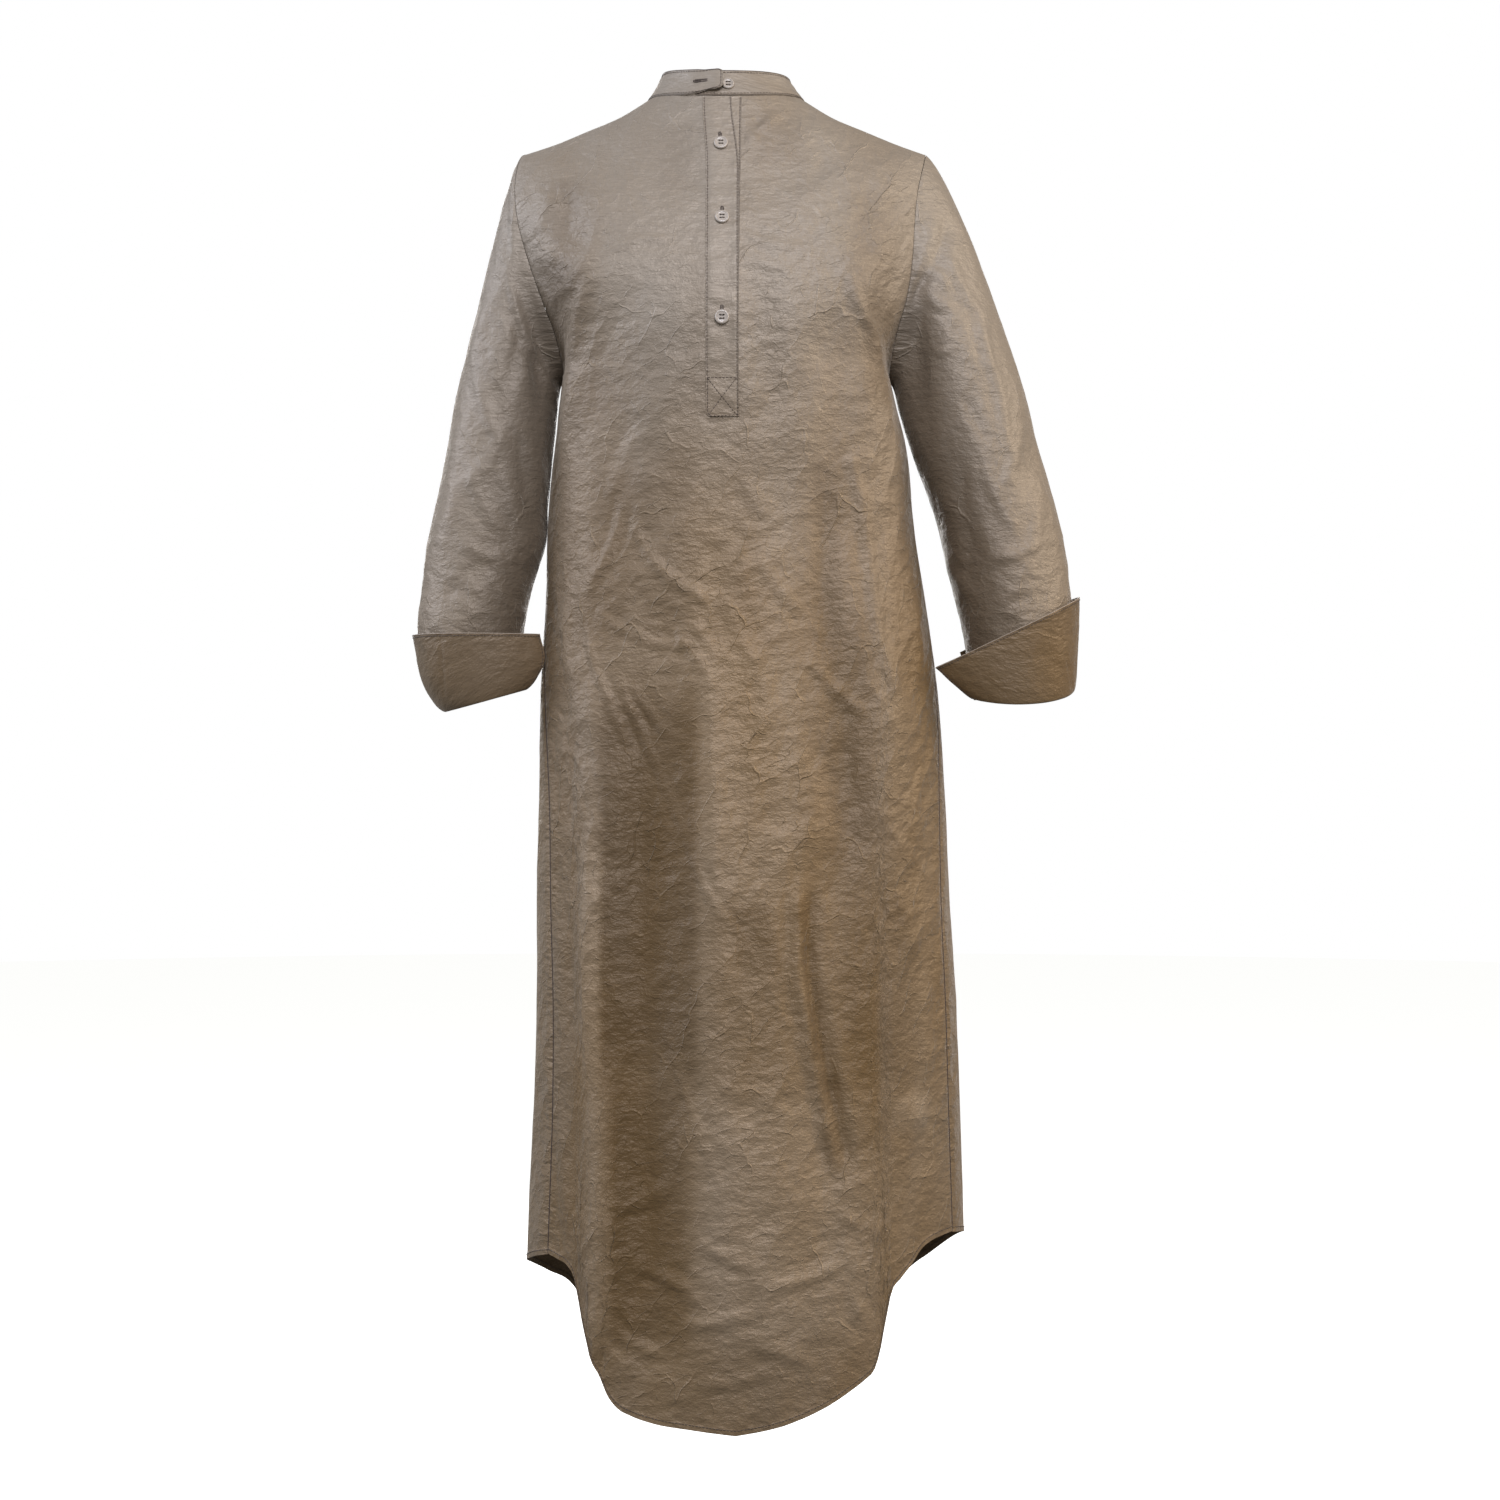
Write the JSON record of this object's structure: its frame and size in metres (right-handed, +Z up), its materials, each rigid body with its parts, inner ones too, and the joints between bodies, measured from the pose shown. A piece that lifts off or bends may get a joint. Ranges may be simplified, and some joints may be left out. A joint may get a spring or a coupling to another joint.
{
  "type": "shirt dress",
  "caption": "Long loose shirt dress of slubbed silk and linen, with a band collar, a short buttoned placket, turned-back cuffs and a curved shirt-tail hem, in its worn shape.",
  "frame": {"origin": "between the two shoulders at the height of the neck seam, where the dress hangs from its wearer", "axes": "+Z up along the dress, front faces -Y, wearer's left is +X"},
  "size_m": [0.5976, 0.2607, 1.2263],
  "materials": {
    "front": "slubbed silk and linen plain weave with a soft sheen",
    "back": "slubbed silk and linen plain weave with a soft sheen",
    "left_sleeve": "slubbed silk and linen plain weave with a soft sheen",
    "right_sleeve": "slubbed silk and linen plain weave with a soft sheen",
    "left_cuff": "slubbed silk and linen plain weave with a soft sheen",
    "right_cuff": "slubbed silk and linen plain weave with a soft sheen",
    "collar": "slubbed silk and linen plain weave with a soft sheen",
    "placket_over": "slubbed silk and linen plain weave with a soft sheen",
    "placket_under": "slubbed silk and linen plain weave with a soft sheen",
    "button": "pale polished shell"
  },
  "bodies": {
    "root": {"front": "front", "back": "back", "left_sleeve": "left_sleeve", "right_sleeve": "right_sleeve", "left_cuff": "left_cuff", "right_cuff": "right_cuff", "collar": "collar", "placket_over": "placket_over", "placket_under": "placket_under", "button_1": "button", "button_2": "button", "button_3": "button", "collar_button": "button"}
  },
  "joints": []
}
